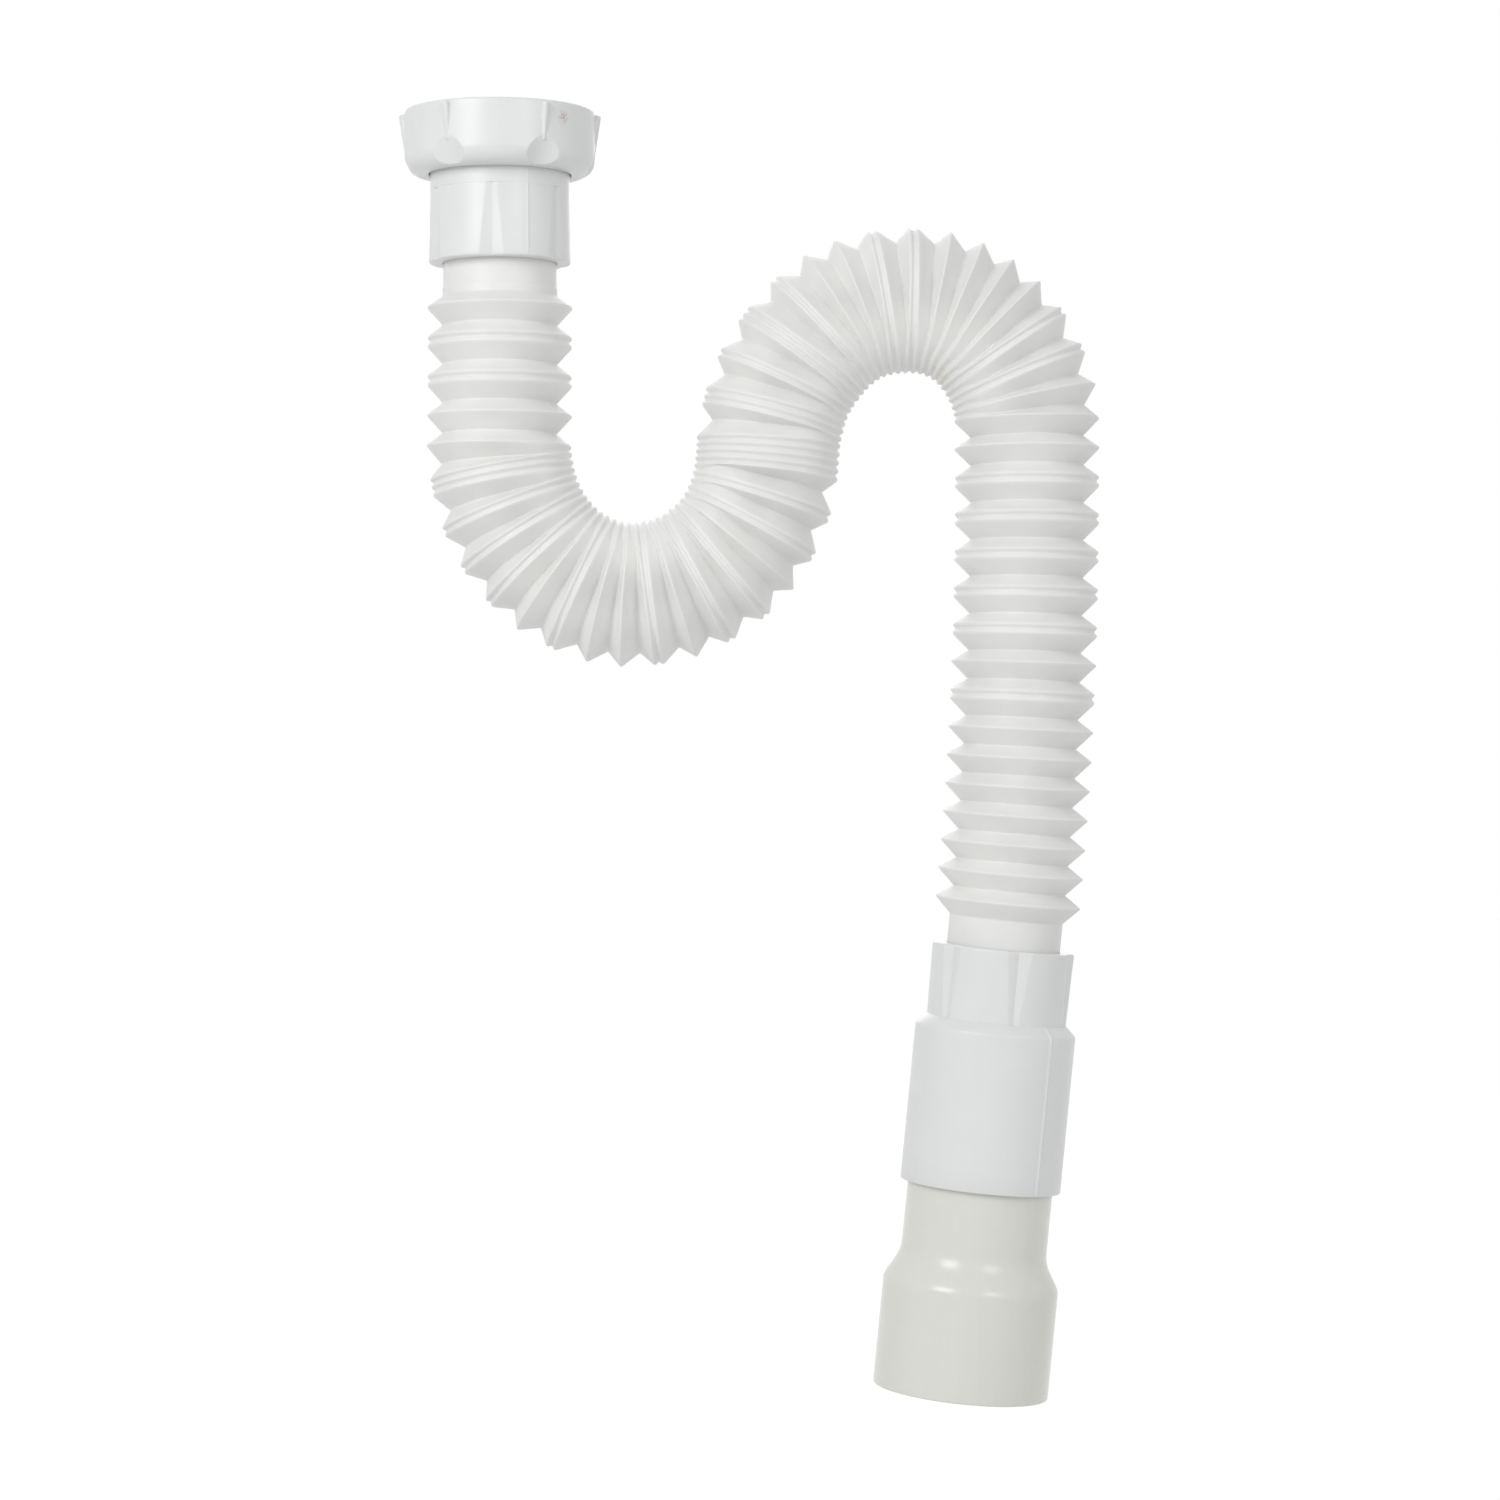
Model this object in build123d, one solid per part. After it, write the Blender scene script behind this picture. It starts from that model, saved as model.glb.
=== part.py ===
"""Flexible sink trap: a union nut, a bellows hose bent into a water seal, and a push-fit outlet tail.

The frame has its origin at the mouth of the union nut, on the inlet axis. +Z points up into the sink
waste, +X points from the inlet leg to the drop leg, and the hose bends in the XZ plane. Millimetres.
"""
from build123d import *
import math
import os

# Thread of the sink waste, G 1 1/2
THREAD_MAJOR_D = 47.8
THREAD_DEPTH = 1.475

# Clearances
FIT_GAP = 0.2
SWIVEL_GAP = 0.4

# Union nut
NUT_WALL = 2.45
NUT_HEIGHT = 17.4
NUT_FLOOR = 3.2
NUT_EDGE_SHARE = 0.68
NUT_RIM_CHAMFER = 0.6
GRIP_COUNT = 6
GRIP_FIRST_ANGLE = 1.0
RIB_TOP_RADIUS = 0.95
RIB_FOOT_RADIUS = 0.45
RIB_PROUD = 1.4
RIB_LENGTH = 9.8
RIB_BELOW_RIM = 1.2
SCALLOP_RADIUS = 5.2
SCALLOP_TILT_ANGLE = 24.0
SCALLOP_TOP_DROP = 9.9

# Inlet ferrule and its flat washer
FLANGE_THICKNESS = 2.4
WASHER_THICKNESS = 2.6
BAND_LENGTH = 4.4

# Fluted collars, which hold the two cuffs of the hose
COLLAR_WALL = 3.4
COLLAR_LENGTH = 19.9
COLLAR_DRAFT = 0.35
FLUTE_COUNT = 6
FLUTE_HOSE_WIDTH = 6.8
FLUTE_HOSE_DEPTH = 1.2
FLUTE_ROOT_WIDTH = 2.4
FLUTE_ROOT_DEPTH = 0.45
FERRULE_FLUTE_ANGLE = -3.0
SLEEVE_FLUTE_ANGLE = 10.0
COLLAR_EDGE_RADIUS = 0.6

# Hose cuffs and the rubber rings that seal them
CUFF_RADIUS = 15.6
CUFF_WALL = 1.8
CUFF_INSERT = 16.0
SEAL_WIDTH = 3.6
SEAL_DEPTH = 1.6
SEAL_FROM_STOP = 2.0

# Bellows folds: each fold has a long flank, a valley and a short flank. A flank runs this far along the axis
# where it rises from the cuff to a ridge
RING_RADIUS = 19.9
FOLD_WALL = 1.1
LONG_FLANK_RUN = 4.6
SHORT_FLANK_RUN = 3.0
INLET_PITCH = 8.4
DROP_PITCH = 7.96
CLOSED_PITCH = 2.3
BEND_CLOSED_PITCH = 2.13
U_BEND_PITCH = 5.74
U_BEND_TURN_ANGLE = 10.9
ARCH_PITCH = 5.63
ARCH_TURN_ANGLE = 10.97
NOTCH_DEPTH = 1.0
INLET_LEAN_ANGLE = 0.1
STACK_LEAN_ANGLE = 0.6
DROP_LEAN_ANGLE = 0.43
INLET_CUFF_SHOWN = 9.2
OUTLET_CUFF_SHOWN = 8.0
INLET_HEADING_ANGLE = -90.0

# State of every fold, in order from the inlet: o open, c closed, b open on the outside of a bend
INLET_FOLDS = "ococoo"
U_BEND_FOLDS = "bccbcbcbcbbcbbbcbbcbcbbcbcb"
STACK_FOLDS = "cccc"
ARCH_FOLDS = "bccbcbccbcbbbcbcbbbbbcbcbb"
DROP_FOLDS = "oocococococoocooooooo"

# Outlet sleeve and tail
SHOULDER_LENGTH = 2.8
SLEEVE_LENGTH = 43.2
SLEEVE_WALL = 1.9
NECK_RADIUS = 20.0
NECK_INSERT = 35.0
NECK_SHOWN = 16.3
FLARE_LENGTH = 13.9
BELL_RADIUS = 24.15
BELL_LENGTH = 26.6
TAIL_WALL = 2.2
TAIL_EDGE_RADIUS = 0.6
TAIL_RING_WIDTH = 2.8
TAIL_RING_DEPTH = 1.0
TAIL_RING_FROM_END = 6.0
PASSAGE_LENGTH = 6.0

# Sizes that follow from the driving ones
NUT_BORE_R = THREAD_MAJOR_D / 2
NUT_R = NUT_BORE_R + NUT_WALL
NUT_FLOOR_Z = NUT_FLOOR - NUT_HEIGHT
SEAT_R = NUT_BORE_R - THREAD_DEPTH
FLANGE_R = SEAT_R - SWIVEL_GAP
FLANGE_TOP_Z = NUT_FLOOR_Z + FLANGE_THICKNESS
WASHER_TOP_Z = FLANGE_TOP_Z + WASHER_THICKNESS
SOCKET_R = CUFF_RADIUS + FIT_GAP
SOCKET_DEPTH = CUFF_INSERT + FIT_GAP
BORE_R = CUFF_RADIUS - CUFF_WALL
COLLAR_R = SOCKET_R + COLLAR_WALL
COLLAR_END_R = COLLAR_R + COLLAR_DRAFT
NUT_HOLE_R = COLLAR_R + SWIVEL_GAP
COLLAR_TOP_Z = -NUT_HEIGHT - BAND_LENGTH
FERRULE_END_Z = COLLAR_TOP_Z - COLLAR_LENGTH
RIDGE_RISE = RING_RADIUS - CUFF_RADIUS
LONG_FLANK = math.hypot(RIDGE_RISE, LONG_FLANK_RUN)
SHORT_FLANK = math.hypot(RIDGE_RISE, SHORT_FLANK_RUN)
SEAL_TOP = SOCKET_DEPTH - SEAL_FROM_STOP
SEAL_FROM_MOUTH = SEAL_TOP - SEAL_WIDTH
NECK_SOCKET_R = NECK_RADIUS + FIT_GAP
SLEEVE_R = NECK_SOCKET_R + SLEEVE_WALL
SLEEVE_TOP_Z = -COLLAR_LENGTH - SHOULDER_LENGTH
SLEEVE_END_Z = SLEEVE_TOP_Z - SLEEVE_LENGTH
NECK_END_Z = SLEEVE_END_Z + NECK_INSERT
FLARE_TOP_Z = SLEEVE_END_Z - NECK_SHOWN
FLARE_END_Z = FLARE_TOP_Z - FLARE_LENGTH
TAIL_END_Z = FLARE_END_Z - BELL_LENGTH
NECK_BORE_R = NECK_RADIUS - TAIL_WALL


def revolved(points):
    """Solid of revolution about Z of a closed outline of (radius, z) points."""
    outline = Polyline(*[(r, 0, z) for r, z in points], close=True)
    return revolve(make_face(outline), Axis.Z)


def ring_of(inner, outer, bottom, height):
    """Flat ring about Z."""
    return revolved([(inner, bottom), (outer, bottom), (outer, bottom + height), (inner, bottom + height)])


def circle_edges(solid, radius, z):
    """Edges of a turned solid that lie at one radius and height."""
    near = 1e-3
    found = solid.edges().filter_by(GeomType.CIRCLE)
    return [e for e in found if abs(e.radius - radius) < near and abs(e.arc_center.Z - z) < near]


def turned_about_z(solid, count, first_angle):
    """Copies of a solid on the front (-Y) side, spaced evenly about Z."""
    return [Rot(Z=first_angle + i * 360 / count) * solid for i in range(count)]


def vee(z, radius, width, depth):
    """Triangle at height z that cuts a groove of this width and depth into a round of this radius."""
    slope = width / 2 / depth
    outside = 2 * depth
    corners = [(0, depth - radius), (slope * (outside + depth), -radius - outside),
               (-slope * (outside + depth), -radius - outside)]
    return Polyline(*[(x, y, z) for x, y in corners], close=True).wire()


def flutes(root_z, end_z, first_angle):
    """Grooves that widen and deepen along a collar, from its root to the end where the hose goes in."""
    run = end_z - root_z
    over = 0.25
    width_step = (FLUTE_HOSE_WIDTH - FLUTE_ROOT_WIDTH) * over
    depth_step = (FLUTE_HOSE_DEPTH - FLUTE_ROOT_DEPTH) * over
    root = vee(root_z, COLLAR_R, FLUTE_ROOT_WIDTH, FLUTE_ROOT_DEPTH)
    end = vee(end_z + over * run, COLLAR_END_R + over * COLLAR_DRAFT,
              FLUTE_HOSE_WIDTH + width_step, FLUTE_HOSE_DEPTH + depth_step)
    groove = Solid.make_loft([root, end], ruled=True)
    return turned_about_z(groove, FLUTE_COUNT, first_angle)


def inlet_nut():
    """Union nut with grip ribs and a scallop under each rib. Its thread runs out at the washer."""
    body = revolved([
        (NUT_HOLE_R, -NUT_HEIGHT), (NUT_R, -NUT_HEIGHT), (NUT_R, 0), (NUT_BORE_R, 0),
        (NUT_BORE_R, WASHER_TOP_Z), (SEAT_R, WASHER_TOP_Z - THREAD_DEPTH),
        (SEAT_R, NUT_FLOOR_Z), (NUT_HOLE_R, NUT_FLOOR_Z),
    ])
    body = fillet(circle_edges(body, NUT_R, -NUT_HEIGHT), NUT_EDGE_SHARE * (NUT_R - NUT_HOLE_R))
    body = chamfer(circle_edges(body, NUT_R, 0), NUT_RIM_CHAMFER)
    top = Vector(0, -(NUT_R + RIB_PROUD - RIB_TOP_RADIUS), -RIB_BELOW_RIM)
    foot = Vector(0, -(NUT_R - RIB_FOOT_RADIUS), -RIB_BELOW_RIM - RIB_LENGTH)
    run = foot - top
    rib = Solid.make_cone(RIB_TOP_RADIUS, RIB_FOOT_RADIUS, run.length, Plane(top, z_dir=run))
    lean = math.radians(SCALLOP_TILT_ANGLE)
    along = Vector(0, math.sin(lean), -math.cos(lean))
    apex = Vector(0, -NUT_R - SCALLOP_RADIUS / math.cos(lean), -SCALLOP_TOP_DROP)
    cutter_plane = Plane(apex - along * SCALLOP_RADIUS, z_dir=along)
    cutter_length = 2 * NUT_HEIGHT / math.cos(lean)
    scallop = Solid.make_cylinder(SCALLOP_RADIUS, cutter_length, cutter_plane)
    grip_angle = GRIP_FIRST_ANGLE + 180 / GRIP_COUNT
    body = body - turned_about_z(scallop, GRIP_COUNT, grip_angle)
    return body + turned_about_z(rib, GRIP_COUNT, grip_angle)


def inlet_ferrule():
    """Flanged ferrule that hangs in the nut and takes the top cuff of the hose in a fluted collar."""
    stop_z = FERRULE_END_Z + SOCKET_DEPTH
    groove_top = FERRULE_END_Z + SEAL_TOP
    groove_r = SOCKET_R + SEAL_DEPTH
    body = revolved([
        (BORE_R, FLANGE_TOP_Z), (FLANGE_R, FLANGE_TOP_Z), (FLANGE_R, NUT_FLOOR_Z), (COLLAR_R, NUT_FLOOR_Z),
        (COLLAR_R, COLLAR_TOP_Z), (COLLAR_END_R, FERRULE_END_Z), (SOCKET_R, FERRULE_END_Z),
        (SOCKET_R, groove_top - SEAL_WIDTH), (groove_r, groove_top - SEAL_WIDTH), (groove_r, groove_top),
        (SOCKET_R, groove_top), (SOCKET_R, stop_z), (BORE_R, stop_z),
    ])
    body = fillet(circle_edges(body, COLLAR_END_R, FERRULE_END_Z), COLLAR_EDGE_RADIUS)
    return body - flutes(COLLAR_TOP_Z, FERRULE_END_Z, FERRULE_FLUTE_ANGLE)


def inlet_washer():
    """Flat rubber washer that lies on the flange, under the end of the sink waste."""
    return ring_of(BORE_R, FLANGE_R, FLANGE_TOP_Z, WASHER_THICKNESS)


def cuff_seal(groove_top):
    """Rubber ring in a collar's groove, round a cuff of the hose."""
    inner = CUFF_RADIUS + FIT_GAP / 2
    outer = SOCKET_R + SEAL_DEPTH - FIT_GAP / 2
    return ring_of(inner, outer, groove_top - SEAL_WIDTH + FIT_GAP / 2, SEAL_WIDTH - FIT_GAP)


def heading_vector(heading):
    """Unit vector in the XZ plane. 0 degrees is +X and 90 is +Z."""
    angle = math.radians(heading)
    return Vector(math.cos(angle), 0, math.sin(angle))


def ring_ends(centre, heading, radius):
    """The two points where a ring square to the heading crosses the XZ plane, left one first."""
    left = heading_vector(heading + 90)
    return centre + left * radius, centre - left * radius


def ring_wire(ends):
    """Circle that stands on the XZ plane with these two points as its diameter."""
    first, second = ends
    across = second - first
    plane = Plane((first + second) / 2, x_dir=across, z_dir=Vector(0, 1, 0).cross(across))
    return Wire.make_circle(across.length / 2, plane)


def open_valley(first, second, inward):
    """Valley point of an open fold: the corner of a triangle whose sides are the two flanks."""
    span = second - first
    gap = span.length
    along = (LONG_FLANK ** 2 - SHORT_FLANK ** 2 + gap ** 2) / (2 * gap)
    depth = math.sqrt(max(LONG_FLANK ** 2 - along ** 2, 0))
    return first + span * (along / gap) + inward * depth


def closed_valley(first, second, inward):
    """Point at the foot of the notch between two ridges that are folded shut."""
    return (first + second) / 2 + inward * NOTCH_DEPTH


def fold_list():
    """Every fold in order: its state, its pitch along the axis and the angle that it turns the hose by."""
    runs = [
        (INLET_FOLDS, {"o": (INLET_PITCH, -INLET_LEAN_ANGLE), "c": (CLOSED_PITCH, 0)}),
        (U_BEND_FOLDS, {"b": (U_BEND_PITCH, U_BEND_TURN_ANGLE), "c": (BEND_CLOSED_PITCH, 0)}),
        (STACK_FOLDS, {"c": (BEND_CLOSED_PITCH, STACK_LEAN_ANGLE)}),
        (ARCH_FOLDS, {"b": (ARCH_PITCH, -ARCH_TURN_ANGLE), "c": (BEND_CLOSED_PITCH, 0)}),
        (DROP_FOLDS, {"o": (DROP_PITCH, -DROP_LEAN_ANGLE), "c": (CLOSED_PITCH, 0)}),
    ]
    return [(state, *steps[state]) for states, steps in runs for state in states]


def ridge_list(folds, first_ridge):
    """Centre and heading of every ridge, from the inlet to the outlet."""
    centre, heading = first_ridge, INLET_HEADING_ANGLE
    ridges = [(centre, heading)]
    for _, pitch, turn in folds:
        centre = centre + heading_vector(heading + turn / 2) * pitch
        heading += turn
        ridges.append((centre, heading))
    return ridges


def open_sides(fold):
    """Whether a fold stands open on its left and on its right. A bend is open on its outside alone."""
    state, _, turn = fold
    return (state == "o" or (state == "b" and turn < 0), state == "o" or (state == "b" and turn > 0))


def valley_rings(fold, ridge, next_ridge):
    """Outer and inner ring of the valley between two ridges."""
    firsts = ring_ends(*ridge, RING_RADIUS)
    seconds = ring_ends(*next_ridge, RING_RADIUS)
    to_right = heading_vector((ridge[1] + next_ridge[1]) / 2 - 90)
    outer, inner = [], []
    for first, second, is_open, inward in zip(firsts, seconds, open_sides(fold), (to_right, -to_right)):
        point = open_valley(first, second, inward) if is_open else closed_valley(first, second, inward)
        outer.append(point)
        inner.append(point + inward * (FOLD_WALL if is_open else RING_RADIUS - NOTCH_DEPTH - BORE_R))
    return outer, inner


def ridge_inner_ring(ridge, fold_before, fold_after):
    """Ring inside a ridge: it follows the wall where both folds are open, and the bore elsewhere."""
    ends = []
    sides = zip(ring_ends(*ridge, RING_RADIUS), open_sides(fold_before), open_sides(fold_after))
    for point, before, after in sides:
        inward = (ridge[0] - point).normalized()
        ends.append(point + inward * (FOLD_WALL if before and after else RING_RADIUS - BORE_R))
    return ends


def hose_rings():
    """Rings of the hose's outer and inner surface, in order, and the plane of the sleeve's mouth.

    Outside, every ridge and valley has its ring. Inside, the bore runs straight past folds that are shut.
    """
    down = heading_vector(INLET_HEADING_ANGLE)
    cuff_top = Vector(0, 0, FERRULE_END_Z + CUFF_INSERT)
    cuff_foot = Vector(0, 0, FERRULE_END_Z - INLET_CUFF_SHOWN)
    folds = fold_list()
    ridges = ridge_list(folds, cuff_foot + down * SHORT_FLANK_RUN)
    outer = [ring_ends(p, INLET_HEADING_ANGLE, CUFF_RADIUS) for p in (cuff_top, cuff_foot)]
    inner = [ring_ends(p, INLET_HEADING_ANGLE, BORE_R) for p in (cuff_top, cuff_foot)]
    flank = ("o", 0, 0)
    around = [flank] + folds + [flank]
    for i, ridge in enumerate(ridges):
        before, after = around[i], around[i + 1]
        outer.append(ring_ends(*ridge, RING_RADIUS))
        if before[0] != "c" and after[0] != "c":
            inner.append(ridge_inner_ring(ridge, before, after))
        if i < len(folds):
            outer_valley, inner_valley = valley_rings(after, ridge, ridges[i + 1])
            outer.append(outer_valley)
            if after[0] != "c":
                inner.append(inner_valley)
    centre, heading = ridges[-1]
    down = heading_vector(heading)
    cuff_head = centre + down * LONG_FLANK_RUN
    mouth = cuff_head + down * OUTLET_CUFF_SHOWN
    cuff_end = mouth + down * CUFF_INSERT
    outer += [ring_ends(p, heading, CUFF_RADIUS) for p in (cuff_head, cuff_end)]
    inner += [ring_ends(p, heading, BORE_R) for p in (cuff_head, cuff_end)]
    return outer, inner, Plane(mouth, x_dir=heading_vector(heading + 90), z_dir=-down)


OUTER_RINGS, INNER_RINGS, OUTLET_PLANE = hose_rings()


def through_rings(rings):
    """Solid whose side runs straight from each ring to the next, with flat ends."""
    wires = [ring_wire(ends) for ends in rings]
    edges = [wire.edge() for wire in wires]
    sides = [Face.make_surface_from_curves(a, b) for a, b in zip(edges, edges[1:])]
    return Solid(Shell(sides + [Face(wires[0]), Face(wires[-1])]))


def hose():
    """Bellows hose in one moulding: a thin folded wall with a plain cuff at each end."""
    return through_rings(OUTER_RINGS) - through_rings(INNER_RINGS)


def outlet_sleeve():
    """Sleeve with a fluted collar for the lower cuff above and a socket for the tail below."""
    groove_top = -SEAL_FROM_MOUTH
    groove_r = SOCKET_R + SEAL_DEPTH
    body = revolved([
        (SOCKET_R, 0), (COLLAR_END_R, 0), (COLLAR_R, -COLLAR_LENGTH), (SLEEVE_R, SLEEVE_TOP_Z),
        (SLEEVE_R, SLEEVE_END_Z), (NECK_SOCKET_R, SLEEVE_END_Z), (NECK_SOCKET_R, NECK_END_Z + FIT_GAP),
        (NECK_BORE_R, NECK_END_Z + FIT_GAP), (BORE_R, NECK_END_Z + FIT_GAP + PASSAGE_LENGTH),
        (BORE_R, -SOCKET_DEPTH), (SOCKET_R, -SOCKET_DEPTH), (SOCKET_R, groove_top - SEAL_WIDTH),
        (groove_r, groove_top - SEAL_WIDTH), (groove_r, groove_top), (SOCKET_R, groove_top),
    ])
    body = fillet(circle_edges(body, COLLAR_END_R, 0), COLLAR_EDGE_RADIUS)
    return body - flutes(-COLLAR_LENGTH, 0, SLEEVE_FLUTE_ANGLE)


def flare(inset):
    """S-curve from the neck to the bell, as two equal arcs, inset from the outer surface."""
    top = (NECK_RADIUS - inset, 0, FLARE_TOP_Z)
    end = (BELL_RADIUS - inset, 0, FLARE_END_Z)
    middle = ((top[0] + end[0]) / 2, 0, (top[2] + end[2]) / 2)
    return TangentArc(top, middle, tangent=(0, 0, -1)), TangentArc(end, middle, tangent=(0, 0, 1))


def outlet_tail():
    """Push-fit tail: a neck that slides into the sleeve, an S-shaped flare and a bell-sized spigot."""
    ring_top = NECK_END_Z - TAIL_RING_FROM_END
    ring_r = NECK_RADIUS - TAIL_RING_DEPTH
    outer_top, outer_end = flare(0)
    inner_top, inner_end = flare(TAIL_WALL)
    bell_bore_r = BELL_RADIUS - TAIL_WALL
    ring_foot = ring_top - TAIL_RING_WIDTH
    neck = Polyline(
        (NECK_BORE_R, 0, FLARE_TOP_Z), (NECK_BORE_R, 0, NECK_END_Z), (NECK_RADIUS, 0, NECK_END_Z),
        (NECK_RADIUS, 0, ring_top), (ring_r, 0, ring_top), (ring_r, 0, ring_foot),
        (NECK_RADIUS, 0, ring_foot), (NECK_RADIUS, 0, FLARE_TOP_Z),
    )
    bell = Polyline(
        (BELL_RADIUS, 0, FLARE_END_Z), (BELL_RADIUS, 0, TAIL_END_Z), (bell_bore_r, 0, TAIL_END_Z),
        (bell_bore_r, 0, FLARE_END_Z),
    )
    outline = Wire.combine([*neck.edges(), *bell.edges(), outer_top, outer_end, inner_top, inner_end])[0]
    body = revolve(Face(outline), Axis.Z)
    return fillet(circle_edges(body, BELL_RADIUS, TAIL_END_Z), TAIL_EDGE_RADIUS)


def tail_ring():
    """Rubber ring in the groove near the end of the tail's neck."""
    ring_top = NECK_END_Z - TAIL_RING_FROM_END
    inner = NECK_RADIUS - TAIL_RING_DEPTH + FIT_GAP / 2
    outer = NECK_SOCKET_R - FIT_GAP / 2
    return ring_of(inner, outer, ring_top - TAIL_RING_WIDTH + FIT_GAP / 2, TAIL_RING_WIDTH - FIT_GAP)


def at_outlet(solid):
    """A piece built about its own Z axis, set on the outlet axis with z = 0 at the mouth of the sleeve."""
    return OUTLET_PLANE.location * solid


def main():
    pieces = {
        "inlet_nut": inlet_nut(),
        "inlet_washer": inlet_washer(),
        "inlet_ferrule": inlet_ferrule(),
        "inlet_cuff_seal": cuff_seal(FERRULE_END_Z + SEAL_TOP),
        "hose": hose(),
        "outlet_cuff_seal": at_outlet(cuff_seal(-SEAL_FROM_MOUTH)),
        "outlet_sleeve": at_outlet(outlet_sleeve()),
        "tail_ring": at_outlet(tail_ring()),
        "outlet_tail": at_outlet(outlet_tail()),
    }
    os.makedirs("parts", exist_ok=True)
    for node, solid in pieces.items():
        export_step(solid, f"parts/{node}.step")
    print("mouth of the sleeve", OUTLET_PLANE.origin, "axis", OUTLET_PLANE.z_dir)


main()
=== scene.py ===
"""Dressed model of a flexible sink trap: union nut, ferrule, bellows hose, sleeve and stepped tail.

Every size is in millimetres, in the frame of the part: the origin is the mouth of the nut, +Z points up
into the sink waste and +X points from the inlet leg to the drop leg. A mesh is made in metres.
"""
import bpy
import math
import numpy as np
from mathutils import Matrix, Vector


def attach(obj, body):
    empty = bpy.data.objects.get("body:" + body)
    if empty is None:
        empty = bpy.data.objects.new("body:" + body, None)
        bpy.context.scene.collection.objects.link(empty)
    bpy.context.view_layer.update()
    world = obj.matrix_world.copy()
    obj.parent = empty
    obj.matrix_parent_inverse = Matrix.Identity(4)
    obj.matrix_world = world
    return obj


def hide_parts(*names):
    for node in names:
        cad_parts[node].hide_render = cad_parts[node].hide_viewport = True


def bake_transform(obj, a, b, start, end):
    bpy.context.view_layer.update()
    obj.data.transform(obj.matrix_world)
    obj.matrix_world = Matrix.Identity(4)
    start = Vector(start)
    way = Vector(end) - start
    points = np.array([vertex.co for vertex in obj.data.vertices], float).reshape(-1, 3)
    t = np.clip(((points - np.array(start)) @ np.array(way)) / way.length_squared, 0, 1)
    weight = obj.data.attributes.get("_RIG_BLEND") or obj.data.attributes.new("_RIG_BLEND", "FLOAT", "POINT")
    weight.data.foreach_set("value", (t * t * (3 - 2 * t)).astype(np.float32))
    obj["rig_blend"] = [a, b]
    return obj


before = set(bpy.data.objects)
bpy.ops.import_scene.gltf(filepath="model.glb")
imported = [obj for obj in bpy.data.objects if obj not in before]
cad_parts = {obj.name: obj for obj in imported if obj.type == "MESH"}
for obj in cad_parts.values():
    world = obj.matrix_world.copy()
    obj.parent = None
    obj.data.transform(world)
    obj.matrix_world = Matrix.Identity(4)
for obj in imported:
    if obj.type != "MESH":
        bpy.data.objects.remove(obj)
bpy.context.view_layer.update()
MM = 0.001
BACK = np.array([0.0, 1.0, 0.0])

# Edges bent by more than this many degrees stay sharp
PLAIN_CREASE = 38
COLLAR_CREASE = 34
HOSE_CREASE = 80

# Union nut and its G 1 1/2 thread
NUT_BORE_R = 23.9
NUT_R = 26.35
NUT_HEIGHT = 17.4
NUT_FLOOR_Z = -14.2
NUT_HOLE_R = 19.6
NUT_EDGE_R = 4.59
NUT_RIM_R = 0.6
THREAD_DEPTH = 1.475
THREAD_PITCH = 2.309
THREAD_END_Z = -9.2
THREAD_FADE_TOP = (0.3, 1.6)
THREAD_FADE_END = 1.2
THREAD_ROWS = 46
MOUTH_CHAMFER = 0.5
HOLE_CHAMFER = 0.3
GRIP_COUNT = 6
GRIP_ANGLE = 31.0
RIB_TOP_R = 0.95
RIB_FOOT_R = 0.45
RIB_PROUD = 1.6
RIB_TOP_Z = -0.6
RIB_FOOT_Z = -11.0
SCALLOP_R = 11.0
SCALLOP_TILT = math.radians(24.0)
SCALLOP_TOP_Z = -9.9
RIB_BLEND = 0.04
SCALLOP_BLEND = 0.1
TAPER_END_Z = -1.6
TAPER_IN = 0.12
NUT_RIM_ROWS = 5
NUT_WALL_ROWS = 48
NUT_EDGE_ROWS = 24
GRIP_HALF_ANGLE = 11.0
GRIP_COLUMNS = 56
PLAIN_COLUMNS = 10
BELOW_ROUND = 0.2

# Fluted collars of the ferrule and the sleeve
FLANGE_R = 22.025
FLANGE_TOP_Z = -11.8
BAND_STEP = 0.08
BORE_R = 13.8
SOCKET_R = 15.8
SOCKET_DEPTH = 16.2
COLLAR_R = 19.2
COLLAR_END_R = 19.55
COLLAR_TOP_Z = -21.8
COLLAR_LENGTH = 19.9
COLLAR_EDGE_R = 0.6
COLLAR_EDGE_ROWS = 6
COLLAR_ROWS = 16
FERRULE_END_Z = COLLAR_TOP_Z - COLLAR_LENGTH
SEAL_TOP = 14.2
SEAL_WIDTH = 3.6
SEAL_DEPTH = 1.6
FLUTE_COUNT = 6
FLUTE_HOSE_WIDTH = 6.8
FLUTE_HOSE_DEPTH = 1.2
FLUTE_ROOT_WIDTH = 2.4
FLUTE_ROOT_DEPTH = 0.45
FERRULE_FLUTE_ANGLE = -3.0
SLEEVE_FLUTE_ANGLE = 10.0
SEAM_HEIGHT = 0.2
SEAM_FLAT = 0.2
SEAM_HALF_WIDTH = 0.9
FERRULE_SEAM_SHARE = 0.6
SHOULDER_SEAM_SHARE = 1.8

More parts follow.
